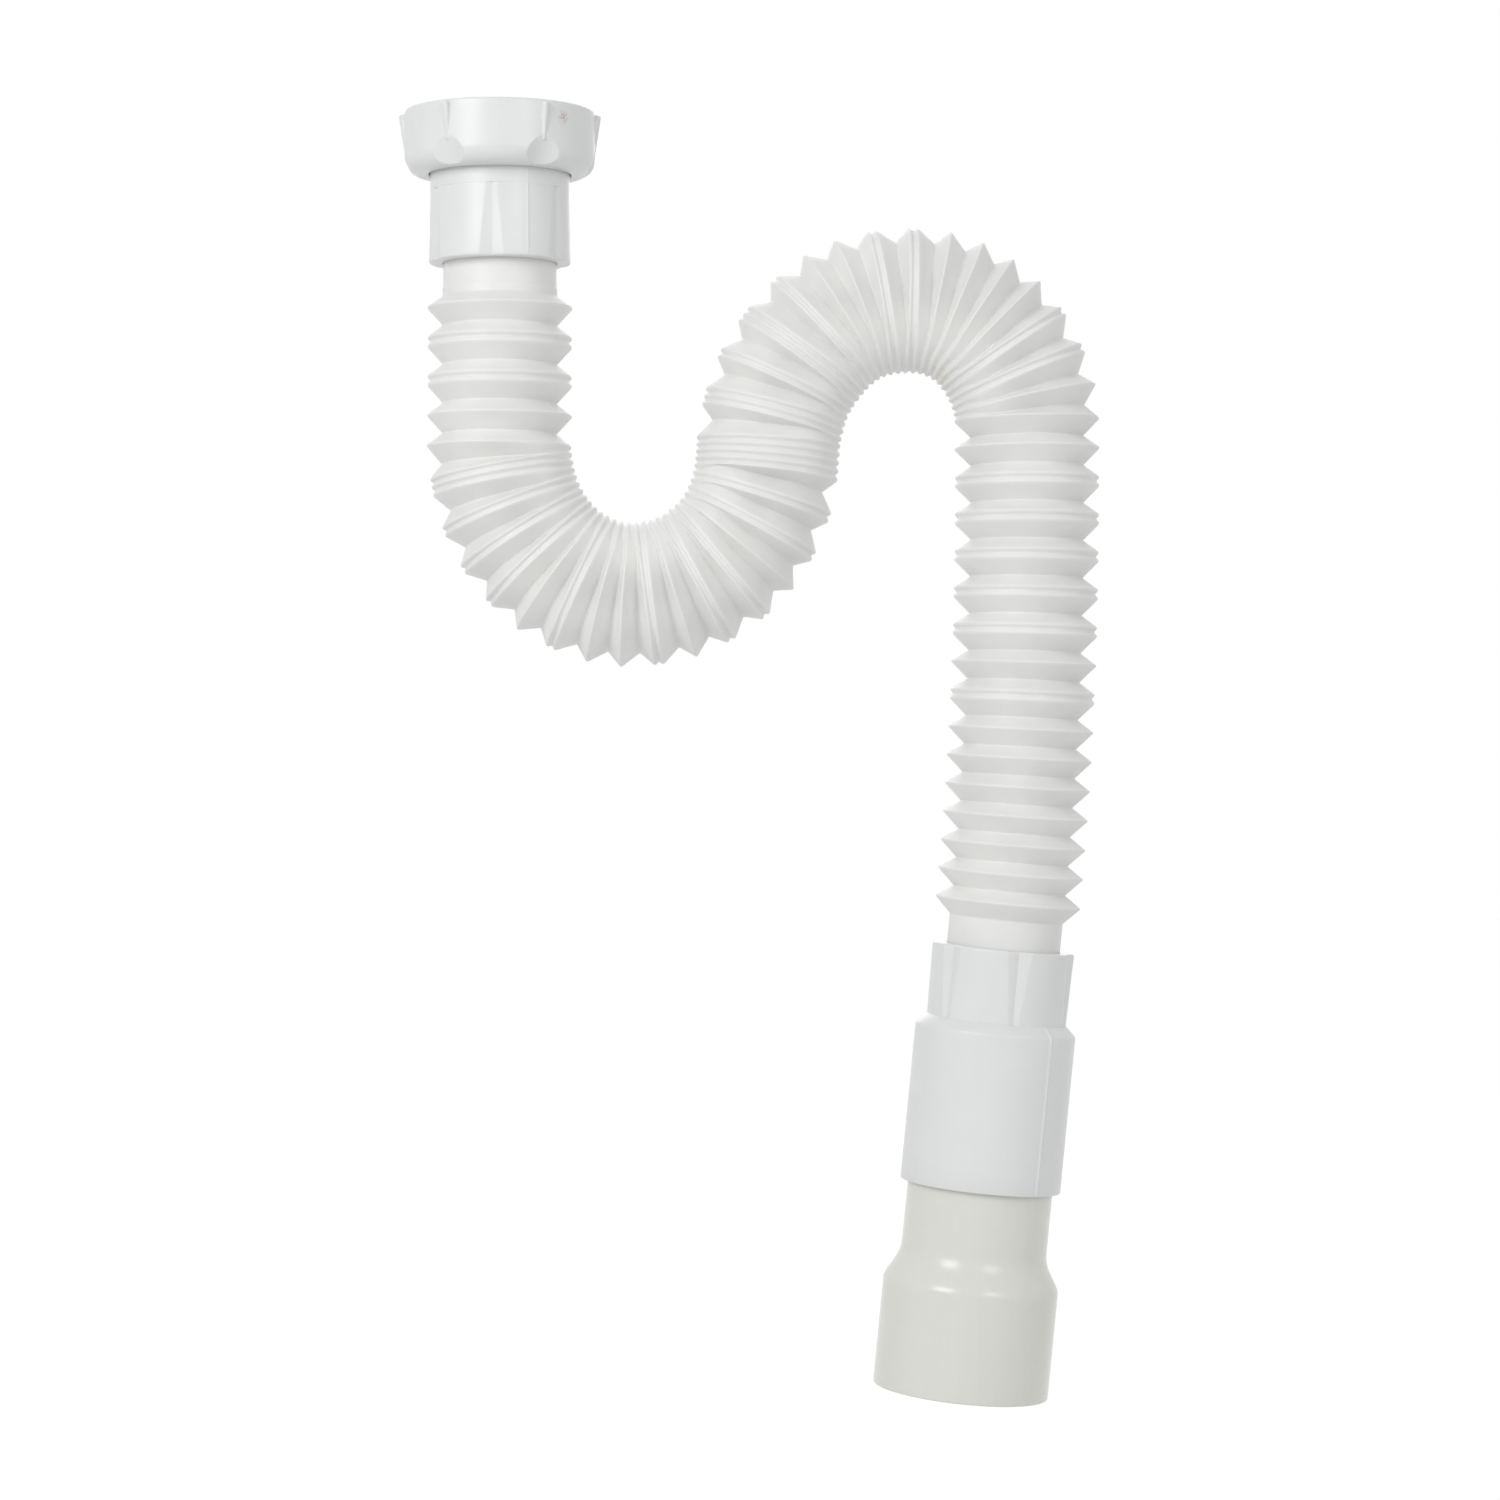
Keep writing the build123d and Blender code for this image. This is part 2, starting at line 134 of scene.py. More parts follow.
# Sleeve and tail, with heights along the outlet axis from the mouth of the sleeve. The soft edges are offsets
# from their corner: out, then up
SLEEVE_R = 22.1
SLEEVE_TOP_Z = -22.7
SLEEVE_END_Z = -65.9
SLEEVE_WALL_DROP = 1.0
SLEEVE_WALL_ROWS = 6
SHOULDER_FOOT = [(0.0, 0.0), (0.25, -0.15)]
SHOULDER_EDGE = [(-0.3, 0.25), (-0.08, -0.05), (0.0, -0.4)]
SLEEVE_LIP = [(0.0, 0.3), (-0.1, 0.08), (-0.3, 0.0)]
NECK_SOCKET_LIP = [(0.2, 0.0), (0.0, 0.3)]
NECK_SOCKET_R = 20.2
NECK_R = 20.0
NECK_BORE_R = 17.8
NECK_END_Z = -30.9
NECK_CLEARANCE = 0.2
PASSAGE_LENGTH = 6.0
FLARE_TOP_Z = -82.2
FLARE_END_Z = -93.8
FLARE_LATE = 1.35
FLARE_ROWS = 26
BELL_ROWS = 4
BELL_R = 24.15
TAIL_END_Z = -122.7
TAIL_WALL = 2.2
TAIL_LIP = 0.5
TAIL_LIP_ROWS = 6
TAIL_STRAIGHT = 2.0
TAIL_BORE_STRAIGHT = 1.0
TAIL_COLUMNS = 160
TAIL_RING_TOP_Z = -36.9
TAIL_RING_WIDTH = 2.8
TAIL_RING_DEPTH = 1.0

# Bellows hose. State of every fold from the inlet: o open, c closed, b open on the outside of a bend
CUFF_R = 15.6
CUFF_INSERT = 16.0
CUFF_BEAD = 0.2
CUFF_BEAD_FROM_FOOT = 2.4
INLET_CUFF_SHOWN = 9.2
OUTLET_CUFF_SHOWN = 8.0
RING_R = 19.9
FOLD_WALL = 1.1
LONG_RUN = 4.6
SHORT_RUN = 3.0
NOTCH_DEPTH = 1.0
INLET_HEADING = -90.0
CLOSED_PITCH = 2.3
BEND_CLOSED_PITCH = 2.13
FOLD_RUNS = [
    ("ococoo", {"o": (8.4, -0.1), "c": (CLOSED_PITCH, 0)}),
    ("bccbcbcbcbbcbbbcbbcbcbbcbcb", {"b": (5.74, 10.9), "c": (BEND_CLOSED_PITCH, 0)}),
    ("cccc", {"c": (BEND_CLOSED_PITCH, 0.6)}),
    ("bccbcbccbcbbbcbcbbbbbcbcbb", {"b": (5.63, -10.97), "c": (BEND_CLOSED_PITCH, 0)}),
    ("oocococococoocooooooo", {"o": (7.96, -0.43), "c": (CLOSED_PITCH, 0)}),
]
ARCH_RUN = 3
CREST_RAISE = 0.25
VALLEY_DROP = 0.6
CREST_REACH = 0.5
VALLEY_REACH = 0.3
SHUT_REACH = 0.85
REACH_LIMIT = 0.45
SHUT_GAP = 2.2
TUCKED_GAP = 3.2
OPEN_GAP = 6.8
TUCK = 0.92
HOSE_COLUMNS = 120
CORNER_ROWS = 5

# Camera, from the photograph's perspective
PHOTO_SIZE = 1500
PHOTO_SCALE = 0.276
FOCAL_PIXELS = 3700
AIM = (69.0, -175.8)
SENSOR_MM = 36.0
CLIP_START_M = 0.01

# Studio. A lamp has its name, place, size and power
FLOOR_Z = -400.0
FLOOR_SIZE_M = 8
FLOOR_PALE = (0.82, 0.82, 0.82, 1)
FLOOR_GLOW = 1.05
FLOOR_GLOW_SHARE = 0.9
SKY_STRENGTH = 0.59
LAMPS = [
    ("key lamp", (-600, -900, 340), 500, 5.25),
    ("fill lamp", (680, -985, 250), 420, 1.95),
    ("back lamp", (69, 1300, 350), 900, 3.5),
]

# Colours
WHITE = (1, 1, 1, 1)
FITTING_WHITE = (0.736, 0.742, 0.741, 1)
FITTING_COOL = (0.722, 0.73, 0.731, 1)
HOSE_WHITE = (0.80, 0.80, 0.785, 1)
HOSE_COOL = (0.76, 0.765, 0.755, 1)
# Paler white painted on the hose's crests as a highlight
HOSE_CREST_HIGHLIGHT = (0.82, 0.82, 0.80, 1)
HOSE_YELLOW = (0.72, 0.66, 0.50, 1)
TAIL_GREY = (0.704, 0.71, 0.66, 1)
TAIL_WARM = (0.69, 0.695, 0.642, 1)
SMUDGE_PINK = (0.43, 0.29, 0.25, 1)
RUBBER_BLACK = (0.022, 0.022, 0.024, 1)
RUBBER_GREY = (0.05, 0.05, 0.052, 1)
SMUDGE_POINT = (18.5, -18.8, -4.4)
YELLOW_POINT = (120.9, -6.0, -74.2)


def smooth_step(x, low, high):
    """0 below low, 1 above high, and a cubic ease between them."""
    t = np.clip((x - low) / (high - low), 0, 1)
    return t * t * (3 - 2 * t)


def soft_max(a, b, width):
    """Larger of two heights, with a parabola of this width where they cross."""
    share = np.clip(0.5 + 0.5 * (a - b) / width, 0, 1)
    return b + (a - b) * share + width * share * (1 - share)


def soft_min(a, b, width):
    """Smaller of two heights, rounded in the same way."""
    return -soft_max(-a, -b, width)


def unit(vectors):
    """Vectors of length 1 along the last axis."""
    return vectors / np.linalg.norm(vectors, axis=-1, keepdims=True)


def arc(centre, radius, first, last, count):
    """Points (r, z) on an arc about a centre. Angles are in degrees, 0 along r and 90 along z."""
    angle = np.radians(np.linspace(first, last, count))
    return np.stack([centre[0] + radius * np.cos(angle), centre[1] + radius * np.sin(angle)], -1)


def run(start, end, count):
    """Points (r, z) evenly spaced from start up to, but not with, end."""
    t = np.linspace(0, 1, count, endpoint=False)[:, None]
    return np.array(start) * (1 - t) + np.array(end) * t


def piece_from_grid(name, points, crease=PLAIN_CREASE):
    """Closed mesh of a grid that wraps both ways: rows round the wall's section, columns round the axis.

    Its faces point away from the wall, and its edges are smooth up to the crease angle.
    """
    rows, columns = points.shape[:2]
    index = np.arange(rows * columns).reshape(rows, columns)
    below = np.roll(index, -1, 0)
    quads = np.stack([index, np.roll(index, -1, 1), np.roll(below, -1, 1), below], -1).reshape(-1, 4)
    flat = points.reshape(-1, 3) * MM
    a, b, c, d = (flat[quads[:, k]] for k in range(4))
    volume = np.einsum("ij,ij->", a, np.cross(b, c)) + np.einsum("ij,ij->", a, np.cross(c, d))
    if volume < 0:
        quads = quads[:, ::-1]
    mesh = bpy.data.meshes.new(name)
    mesh.from_pydata(flat, [], quads)
    mesh.polygons.foreach_set("use_smooth", np.ones(len(quads), bool))
    mesh.set_sharp_from_angle(angle=math.radians(crease))
    piece = bpy.data.objects.new(name, mesh)
    bpy.context.scene.collection.objects.link(piece)
    return piece


def turned(radius, height, angle, seat):
    """Points of a turned surface: origin + radius * across + height * up.

    The angle, in degrees, turns across from the front towards the seat's right.
    """
    origin, right, up = seat
    turn = np.radians(angle)
    radius, height, turn = np.broadcast_arrays(radius, height, turn)
    across = np.sin(turn)[..., None] * right - np.cos(turn)[..., None] * BACK
    return origin + radius[..., None] * across + height[..., None] * up


def fold_chain():
    """Centre (x, z) and heading of every ridge, and the state of every fold.

    A fold turns by half of its angle, steps by its pitch and turns by the other half.
    """
    states = "".join(letters for letters, _ in FOLD_RUNS)
    steps = np.array([sizes[s] for letters, sizes in FOLD_RUNS for s in letters])
    pitch, turn = steps[:, 0], steps[:, 1]
    heading = INLET_HEADING + np.concatenate([[0], np.cumsum(turn)])
    middle = np.radians(heading[:-1] + turn / 2)
    moves = pitch[:, None] * np.stack([np.cos(middle), np.sin(middle)], -1)
    first = np.array([0.0, FERRULE_END_Z - INLET_CUFF_SHOWN - SHORT_RUN])
    centre = first + np.concatenate([np.zeros((1, 2)), np.cumsum(moves, 0)])
    return centre, heading, np.array(list(states))


RIDGE_CENTRE, RIDGE_HEADING, FOLD_STATE = fold_chain()
OUTLET_HEADING = math.radians(RIDGE_HEADING[-1])
OUTLET_DOWN = np.array([math.cos(OUTLET_HEADING), 0, math.sin(OUTLET_HEADING)])
LAST_RIDGE = np.array([RIDGE_CENTRE[-1, 0], 0, RIDGE_CENTRE[-1, 1]])
OUTLET_MOUTH = LAST_RIDGE + OUTLET_DOWN * (LONG_RUN + OUTLET_CUFF_SHOWN)
INLET_SEAT = (np.zeros(3), np.array([1.0, 0, 0]), np.array([0, 0, 1.0]))
OUTLET_SEAT = (OUTLET_MOUTH, np.array([-OUTLET_DOWN[2], 0, OUTLET_DOWN[0]]), -OUTLET_DOWN)
FOLD_COUNTS = [len(letters) for letters, _ in FOLD_RUNS]
ARCH_START = sum(FOLD_COUNTS[:ARCH_RUN])
DROP_START = ARCH_START + FOLD_COUNTS[ARCH_RUN]


def rings(centre, heading, radius, column):
    """Circles square to the hose, and their outward directions: centre + radius * (cos * left + sin * back).

    Left is a quarter turn on from the heading.
    """
    turn = np.radians(heading)
    left = np.stack([-np.sin(turn), np.zeros_like(turn), np.cos(turn)], -1)
    out = np.cos(column)[None, :, None] * left[:, None] + np.sin(column)[None, :, None] * BACK
    middle = np.stack([centre[:, 0], np.zeros(len(centre)), centre[:, 1]], -1)
    return middle[:, None] + radius * out, out


def hose_corners(column):
    """Outer and inner corner rings of the bellows, and how far each outer corner is rounded.

    Between two ridges a gap apart, an open fold is a triangle whose sides are its two flanks, and a shut
    fold is a notch. The gap at each column says how open the fold is there, so a bend opens on its outside
    alone. As a fold shuts, its valley grows shallow and round and tucks in beside the next ridge.
    """
    rise = RING_R - CUFF_R
    long_flank = math.hypot(rise, LONG_RUN)
    short_flank = math.hypot(rise, SHORT_RUN)
    crest, out = rings(RIDGE_CENTRE, RIDGE_HEADING, RING_R + CREST_RAISE, column)
    chord = crest[1:] - crest[:-1]
    gap = np.linalg.norm(chord, axis=-1, keepdims=True)
    inward = -unit(out[1:] + out[:-1])
    opened = smooth_step(gap, SHUT_GAP, OPEN_GAP)
    tucked = smooth_step(gap, SHUT_GAP, TUCKED_GAP)
    along = (long_flank ** 2 - short_flank ** 2 + gap ** 2) / (2 * gap)
    depth = np.sqrt(np.clip(long_flank ** 2 - along ** 2, 0, None))
    place = tucked * np.minimum(along / gap, TUCK) + (1 - tucked) * 0.5
    deep = opened * (depth + VALLEY_DROP) + (1 - opened) * (NOTCH_DEPTH + CREST_RAISE)
    valley = crest[:-1] + chord * place + inward * deep
    ends = np.ones_like(opened[:1])
    both = np.concatenate([ends, opened]) * np.concatenate([opened, ends])
    inner_crest = crest - out * (FOLD_WALL * both + (RING_R - BORE_R) * (1 - both))
    inner_valley = valley + inward * (FOLD_WALL * opened + (RING_R - NOTCH_DEPTH - BORE_R) * (1 - opened))
    crest_reach = both * CREST_REACH + (1 - both) * SHUT_REACH
    valley_reach = opened * VALLEY_REACH + (1 - opened) * SHUT_REACH
    return woven(crest, valley), woven(inner_crest, inner_valley), woven(crest_reach, valley_reach)


def woven(crests, valleys):
    """Crest and valley rings in their order along the hose."""
    rows = np.empty((len(crests) + len(valleys), *crests.shape[1:]))
    rows[0::2] = crests
    rows[1::2] = valleys
    return rows


def rounded(corners, reach):
    """Each corner ring becomes a few rings on a parabola.

    It leaves its two sides at the reach from the corner, but never past a limited share of a side.
    """
    before = corners[:-2] - corners[1:-1]
    after = corners[2:] - corners[1:-1]
    far = np.linalg.norm(before, axis=-1, keepdims=True), np.linalg.norm(after, axis=-1, keepdims=True)
    start = corners[1:-1] + before / far[0] * np.minimum(reach, REACH_LIMIT * far[0])
    end = corners[1:-1] + after / far[1] * np.minimum(reach, REACH_LIMIT * far[1])
    s = np.linspace(0, 1, CORNER_ROWS)[None, :, None, None]
    curve = (1 - s) ** 2 * start[:, None] + 2 * s * (1 - s) * corners[1:-1, None] + s ** 2 * end[:, None]
    return curve.reshape(-1, *corners.shape[1:])


def cuff_rings(seat, height, radius, column):
    """Rings of a plain cuff at these heights and radii, on the hose's own columns."""
    origin, right, up = seat
    out = np.cos(column)[:, None] * right + np.sin(column)[:, None] * BACK
    return origin + np.array(radius)[:, None, None] * out + np.array(height)[:, None, None] * up


def hose_surfaces():
    """Outer rows with their ridge numbers and depths, then inner rows with their ridge numbers.

    A ridge number counts ridges along the hose, with a half for a valley. A depth is 0 on a crest and 1 in a
    valley or on a cuff.
    """
    column = np.linspace(0, 2 * np.pi, HOSE_COLUMNS, endpoint=False)
    outer, inner, reach = hose_corners(column)
    foot = FERRULE_END_Z - INLET_CUFF_SHOWN
    bead_z = foot + CUFF_BEAD_FROM_FOOT
    bead_r = CUFF_R + CUFF_BEAD
    top_z = [FERRULE_END_Z + CUFF_INSERT, bead_z + CUFF_BEAD, bead_z, foot]
    top = cuff_rings(INLET_SEAT, top_z, [CUFF_R, CUFF_R, bead_r, bead_r], column)
    end_z = [OUTLET_CUFF_SHOWN, -CUFF_INSERT]
    end = cuff_rings(OUTLET_SEAT, end_z, [CUFF_R, CUFF_R], column)
    corners = np.concatenate([top, outer, end])
    last = len(RIDGE_CENTRE) - 1
    ridge = np.concatenate([np.zeros(len(top)), np.arange(2 * last + 1) / 2, np.full(len(end), last)])
    sunk = np.concatenate([np.ones(len(top)), np.arange(2 * last + 1) % 2, np.ones(len(end))])
    cuff_reach = np.full((len(top), len(column), 1), VALLEY_REACH)
    reach = np.concatenate([cuff_reach, reach, cuff_reach[:len(end)]])
    rows = np.concatenate([corners[:1], rounded(corners, reach[1:-1]), corners[-1:]])
    between = np.repeat(np.arange(1, len(corners) - 1), CORNER_ROWS)
    spread = np.concatenate([[0], between, [len(corners) - 1]])
    inner_top = cuff_rings(INLET_SEAT, top_z[::3], [BORE_R, BORE_R], column)
    inner_end = cuff_rings(OUTLET_SEAT, end_z, [BORE_R, BORE_R], column)
    inner_rows = np.concatenate([inner_top, inner, inner_end])
    inner_ridge = np.concatenate([np.zeros(2), np.arange(2 * last + 1) / 2, np.full(2, last)])
    return rows, ridge[spread], sunk[spread], inner_rows, inner_ridge


def step_weight(ridge, moving):
    """Share of a joint's motion at each ridge number: it grows by one step over every fold that moves."""
    total = np.concatenate([[0], np.cumsum(moving)]) / moving.sum()
    return np.interp(ridge, np.arange(len(total)), total)


def hose_piece(name, bodies, moving, outer_part, inner_part):
    """One length of the hose as a closed wall, which follows its two bodies fold by fold."""
    rows, ridge, sunk = outer_part
    inner_rows, inner_ridge = inner_part
    points = np.concatenate([rows, inner_rows[::-1]])
    piece = piece_from_grid(name, points, HOSE_CREASE)
    columns = points.shape[1]
    depth = np.concatenate([sunk, np.ones(len(inner_rows))])
    sunk_layer = piece.data.attributes.new("fold_depth", "FLOAT", "POINT")
    sunk_layer.data.foreach_set("value", np.repeat(depth, columns).astype(np.float32))
    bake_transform(piece, *bodies, start=points[0, 0] * MM, end=points[len(rows) - 1, 0] * MM)
    weight = step_weight(np.concatenate([ridge, inner_ridge[::-1]]), moving)
    layer = piece.data.attributes["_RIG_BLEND"]
    layer.data.foreach_set("value", np.repeat(weight, columns).astype(np.float32))
    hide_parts("hose")
    return piece


def bellows_hose():
    """The hose in two lengths that meet in the first valley of the drop leg, below the arch."""
    rows, ridge, sunk, inner_rows, inner_ridge = hose_surfaces()
    seam = DROP_START + 0.5
    middle = np.flatnonzero(ridge == seam)[CORNER_ROWS // 2]
    inner_middle = np.flatnonzero(inner_ridge == seam)[0]
    arch = (FOLD_STATE == "b") & (np.arange(len(FOLD_STATE)) >= ARCH_START)
    drop = (FOLD_STATE == "o") & (np.arange(len(FOLD_STATE)) > DROP_START)
    lengths = [
        ("hose_bend", ("inlet", "hose"), arch, slice(0, middle + 1), slice(0, inner_middle + 1)),
        ("hose_drop", ("hose", "outlet"), drop, slice(middle, None), slice(inner_middle, None)),
    ]
    return [
        hose_piece(name, bodies, moving, (rows[outer], ridge[outer], sunk[outer]),
                   (inner_rows[inner], inner_ridge[inner]))
        for name, bodies, moving, outer, inner in lengths
    ]


def nut_columns():
    """Angles round the nut, close together at each grip and wide between, and their offset from it."""
    half = 180 / GRIP_COUNT
    offset = np.concatenate([
        np.linspace(-half, -GRIP_HALF_ANGLE, PLAIN_COLUMNS, endpoint=False),
        np.linspace(-GRIP_HALF_ANGLE, GRIP_HALF_ANGLE, GRIP_COLUMNS, endpoint=False),
        np.linspace(GRIP_HALF_ANGLE, half, PLAIN_COLUMNS, endpoint=False),
    ])
    angle = GRIP_ANGLE + np.arange(GRIP_COUNT)[:, None] * 2 * half + offset
    return angle.ravel(), np.tile(offset, GRIP_COUNT)


def grip_radius(base, height, offset):
    """Wall of the nut with its grips: the larger of a rib and of what a tilted cylinder leaves of the wall.

    The rib tapers and has a ball end. The wall leans in a little over the last stretch below the rim.
    """
    aside = NUT_R * np.sin(np.radians(offset))
    fall = np.clip((RIB_TOP_Z - height) / (RIB_TOP_Z - RIB_FOOT_Z), 0, 1)
    rib_r = RIB_TOP_R + (RIB_FOOT_R - RIB_TOP_R) * fall
    rib_axis = NUT_R + (RIB_PROUD - RIB_TOP_R) * (1 - fall) - RIB_FOOT_R * fall
    over = np.maximum(height - RIB_TOP_Z + RIB_TOP_R, 0)
    bulge = np.sqrt(np.clip(rib_r ** 2 - aside ** 2 - over ** 2, 0, None))
    rib = np.where((bulge > 0) & (height > RIB_FOOT_Z), rib_axis + bulge, 0)
    reach = SCALLOP_R / math.cos(SCALLOP_TILT)
    axis = NUT_R + reach - (SCALLOP_TOP_Z - height) * math.tan(SCALLOP_TILT)
    hollow = axis - reach * np.sqrt(np.clip(1 - (aside / SCALLOP_R) ** 2, 0, None))
    cut = np.where(np.abs(aside) < SCALLOP_R, np.hypot(hollow, aside), 2 * NUT_R)
    drafted = base - TAPER_IN * np.clip((height - TAPER_END_Z) / -TAPER_END_Z, 0, 1)
    return soft_max(soft_min(drafted, cut, SCALLOP_BLEND), rib, RIB_BLEND)


def thread_radius(height, angle):
    """Bore of the nut: a right-hand ridge stands in from the major radius and fades out at both ends."""
    turn = height / THREAD_PITCH - angle / 360
    ridge = 0.5 - 0.5 * np.cos(2 * np.pi * turn)
    fade_in = smooth_step(-height, *THREAD_FADE_TOP)
    fade_out = smooth_step(height, THREAD_END_Z, THREAD_END_Z + THREAD_FADE_END)
    return NUT_BORE_R - THREAD_DEPTH * ridge * (fade_in * fade_out)


def union_nut():
    """Section of the nut carried round its axis. The outside has the grips, the bore has the thread."""
    angle, offset = nut_columns()
    rim = arc((NUT_R - NUT_RIM_R, -NUT_RIM_R), NUT_RIM_R, 90, 0, NUT_RIM_ROWS)
    edge_z = NUT_EDGE_R - NUT_HEIGHT
    wall = run((NUT_R, -NUT_RIM_R - BELOW_ROUND), (NUT_R, edge_z), NUT_WALL_ROWS)
    edge = arc((NUT_R - NUT_EDGE_R, edge_z), NUT_EDGE_R, 0, -90, NUT_EDGE_ROWS)
    outside = np.concatenate([rim, wall, edge])
    seat_r = NUT_BORE_R - THREAD_DEPTH
    under = np.array([
        (NUT_HOLE_R + HOLE_CHAMFER, -NUT_HEIGHT), (NUT_HOLE_R, -NUT_HEIGHT + HOLE_CHAMFER),
        (NUT_HOLE_R, NUT_FLOOR_Z), (seat_r, NUT_FLOOR_Z), (seat_r, THREAD_END_Z - THREAD_DEPTH),
    ])
    bore_z = np.linspace(THREAD_END_Z, -MOUTH_CHAMFER, THREAD_ROWS)
    mouth = np.array([(NUT_BORE_R + MOUTH_CHAMFER, 0.0)])
    plain = np.ones(len(angle))
    radius = np.concatenate([
        grip_radius(outside[:, :1], outside[:, 1:], offset), under[:, :1] * plain,
        thread_radius(bore_z[:, None], angle), mouth[:, :1] * plain,
    ])
    height = np.concatenate([outside[:, 1], under[:, 1], bore_z, mouth[:, 1]])
    return piece_from_grid("nut_body", turned(radius, height[:, None], angle, INLET_SEAT))


def flute_columns():
    """Place of each column: -1 to 1 across a flute, then 1 to 3 across the land to the next flute."""
    groove = np.array([-1, -0.94, -0.7, -0.4, -0.1, 0, 0.1, 0.4, 0.7, 0.94])
    land = np.array([1, 1.06, 1.2, 1.45, 1.7, 1.9, 1.96, 1.98, 2, 2.02, 2.04, 2.1, 2.3, 2.55, 2.8, 2.94])
    return np.concatenate([groove, land])


def fluted(radius, share, first_angle):
    """Radius and angle of a section with flutes.

    A flute is a V as wide and deep as its share says: 0 at its root, 1 at the hose end, below 0 for none. The
    columns stay on its edges as it widens.
    """
    place = flute_columns()
    width = FLUTE_ROOT_WIDTH + (FLUTE_HOSE_WIDTH - FLUTE_ROOT_WIDTH) * np.clip(share, 0, 1)
    depth = np.where(share < 0, 0, FLUTE_ROOT_DEPTH + (FLUTE_HOSE_DEPTH - FLUTE_ROOT_DEPTH) * share)
    sector = 360 / FLUTE_COUNT
    half = np.degrees(width / 2 / COLLAR_R)
    on_land = half[:, None] + (place - 1) / 2 * (sector - 2 * half[:, None])
    angle = np.where(place < 1, place * half[:, None], on_land)
    sunk = np.clip(1 - np.abs(place), 0, None) * depth[:, None]
    sectors = first_angle + sector * np.arange(FLUTE_COUNT)
    angle = (angle[:, None] + sectors[None, :, None]).reshape(len(radius), -1)
    radius = np.tile(radius[:, None] - sunk, FLUTE_COUNT)
    return radius, angle


def seam_lift(angle, first_angle):
    """Fine raised line left by the two halves of the mould, on two opposite lands."""
    seam = first_angle + 180 / FLUTE_COUNT
    away = np.abs((angle - seam + 90) % 180 - 90)
    return SEAM_HEIGHT * (1 - smooth_step(away, SEAM_FLAT, SEAM_HALF_WIDTH))


def seal_groove(mouth_z, side):
    """Section of a cuff's socket from its mouth to its stop, with the groove for the rubber ring."""
    near = mouth_z + side * (SEAL_TOP - SEAL_WIDTH)
    far = mouth_z + side * SEAL_TOP
    stop = mouth_z + side * SOCKET_DEPTH
    deep = SOCKET_R + SEAL_DEPTH
    return [(SOCKET_R, near), (deep, near), (deep, far), (SOCKET_R, far), (SOCKET_R, stop), (BORE_R, stop)]


def from_corner(radius, height, offsets):
    """Points (r, z) at these offsets from a corner."""
    return [(radius + out, height + up) for out, up in offsets]


def inlet_ferrule():
    """Ferrule under the nut: a flange, a plain band and a fluted collar that the top cuff goes into."""
    edge_z = FERRULE_END_Z + COLLAR_EDGE_R
    edge = arc((COLLAR_END_R - COLLAR_EDGE_R, edge_z), COLLAR_EDGE_R, 0, -90, COLLAR_EDGE_ROWS)
    top = (COLLAR_R - BAND_STEP, COLLAR_TOP_Z - BAND_STEP)
    collar = run(top, (COLLAR_END_R, edge_z), COLLAR_ROWS)
    head = np.array([(BORE_R, FLANGE_TOP_Z), (FLANGE_R, FLANGE_TOP_Z), (FLANGE_R, NUT_FLOOR_Z),
                     (COLLAR_R, NUT_FLOOR_Z), (COLLAR_R, COLLAR_TOP_Z)])
    inside = np.array([(SOCKET_R, FERRULE_END_Z)] + seal_groove(FERRULE_END_Z, 1))
    section = np.concatenate([head, collar, edge, inside])
    share = (COLLAR_TOP_Z - section[:, 1]) / COLLAR_LENGTH
    share[:len(head)] = -1
    share[len(head) + len(collar) + len(edge):] = -1
    radius, angle = fluted(section[:, 0], share, FERRULE_FLUTE_ANGLE)
    shown = np.zeros(len(section))
    shown[len(head) - 1:len(head) + len(collar)] = FERRULE_SEAM_SHARE
    radius = radius + shown[:, None] * seam_lift(angle, FERRULE_FLUTE_ANGLE)
    return piece_from_grid("ferrule_body", turned(radius, section[:, 1:], angle, INLET_SEAT), COLLAR_CREASE)


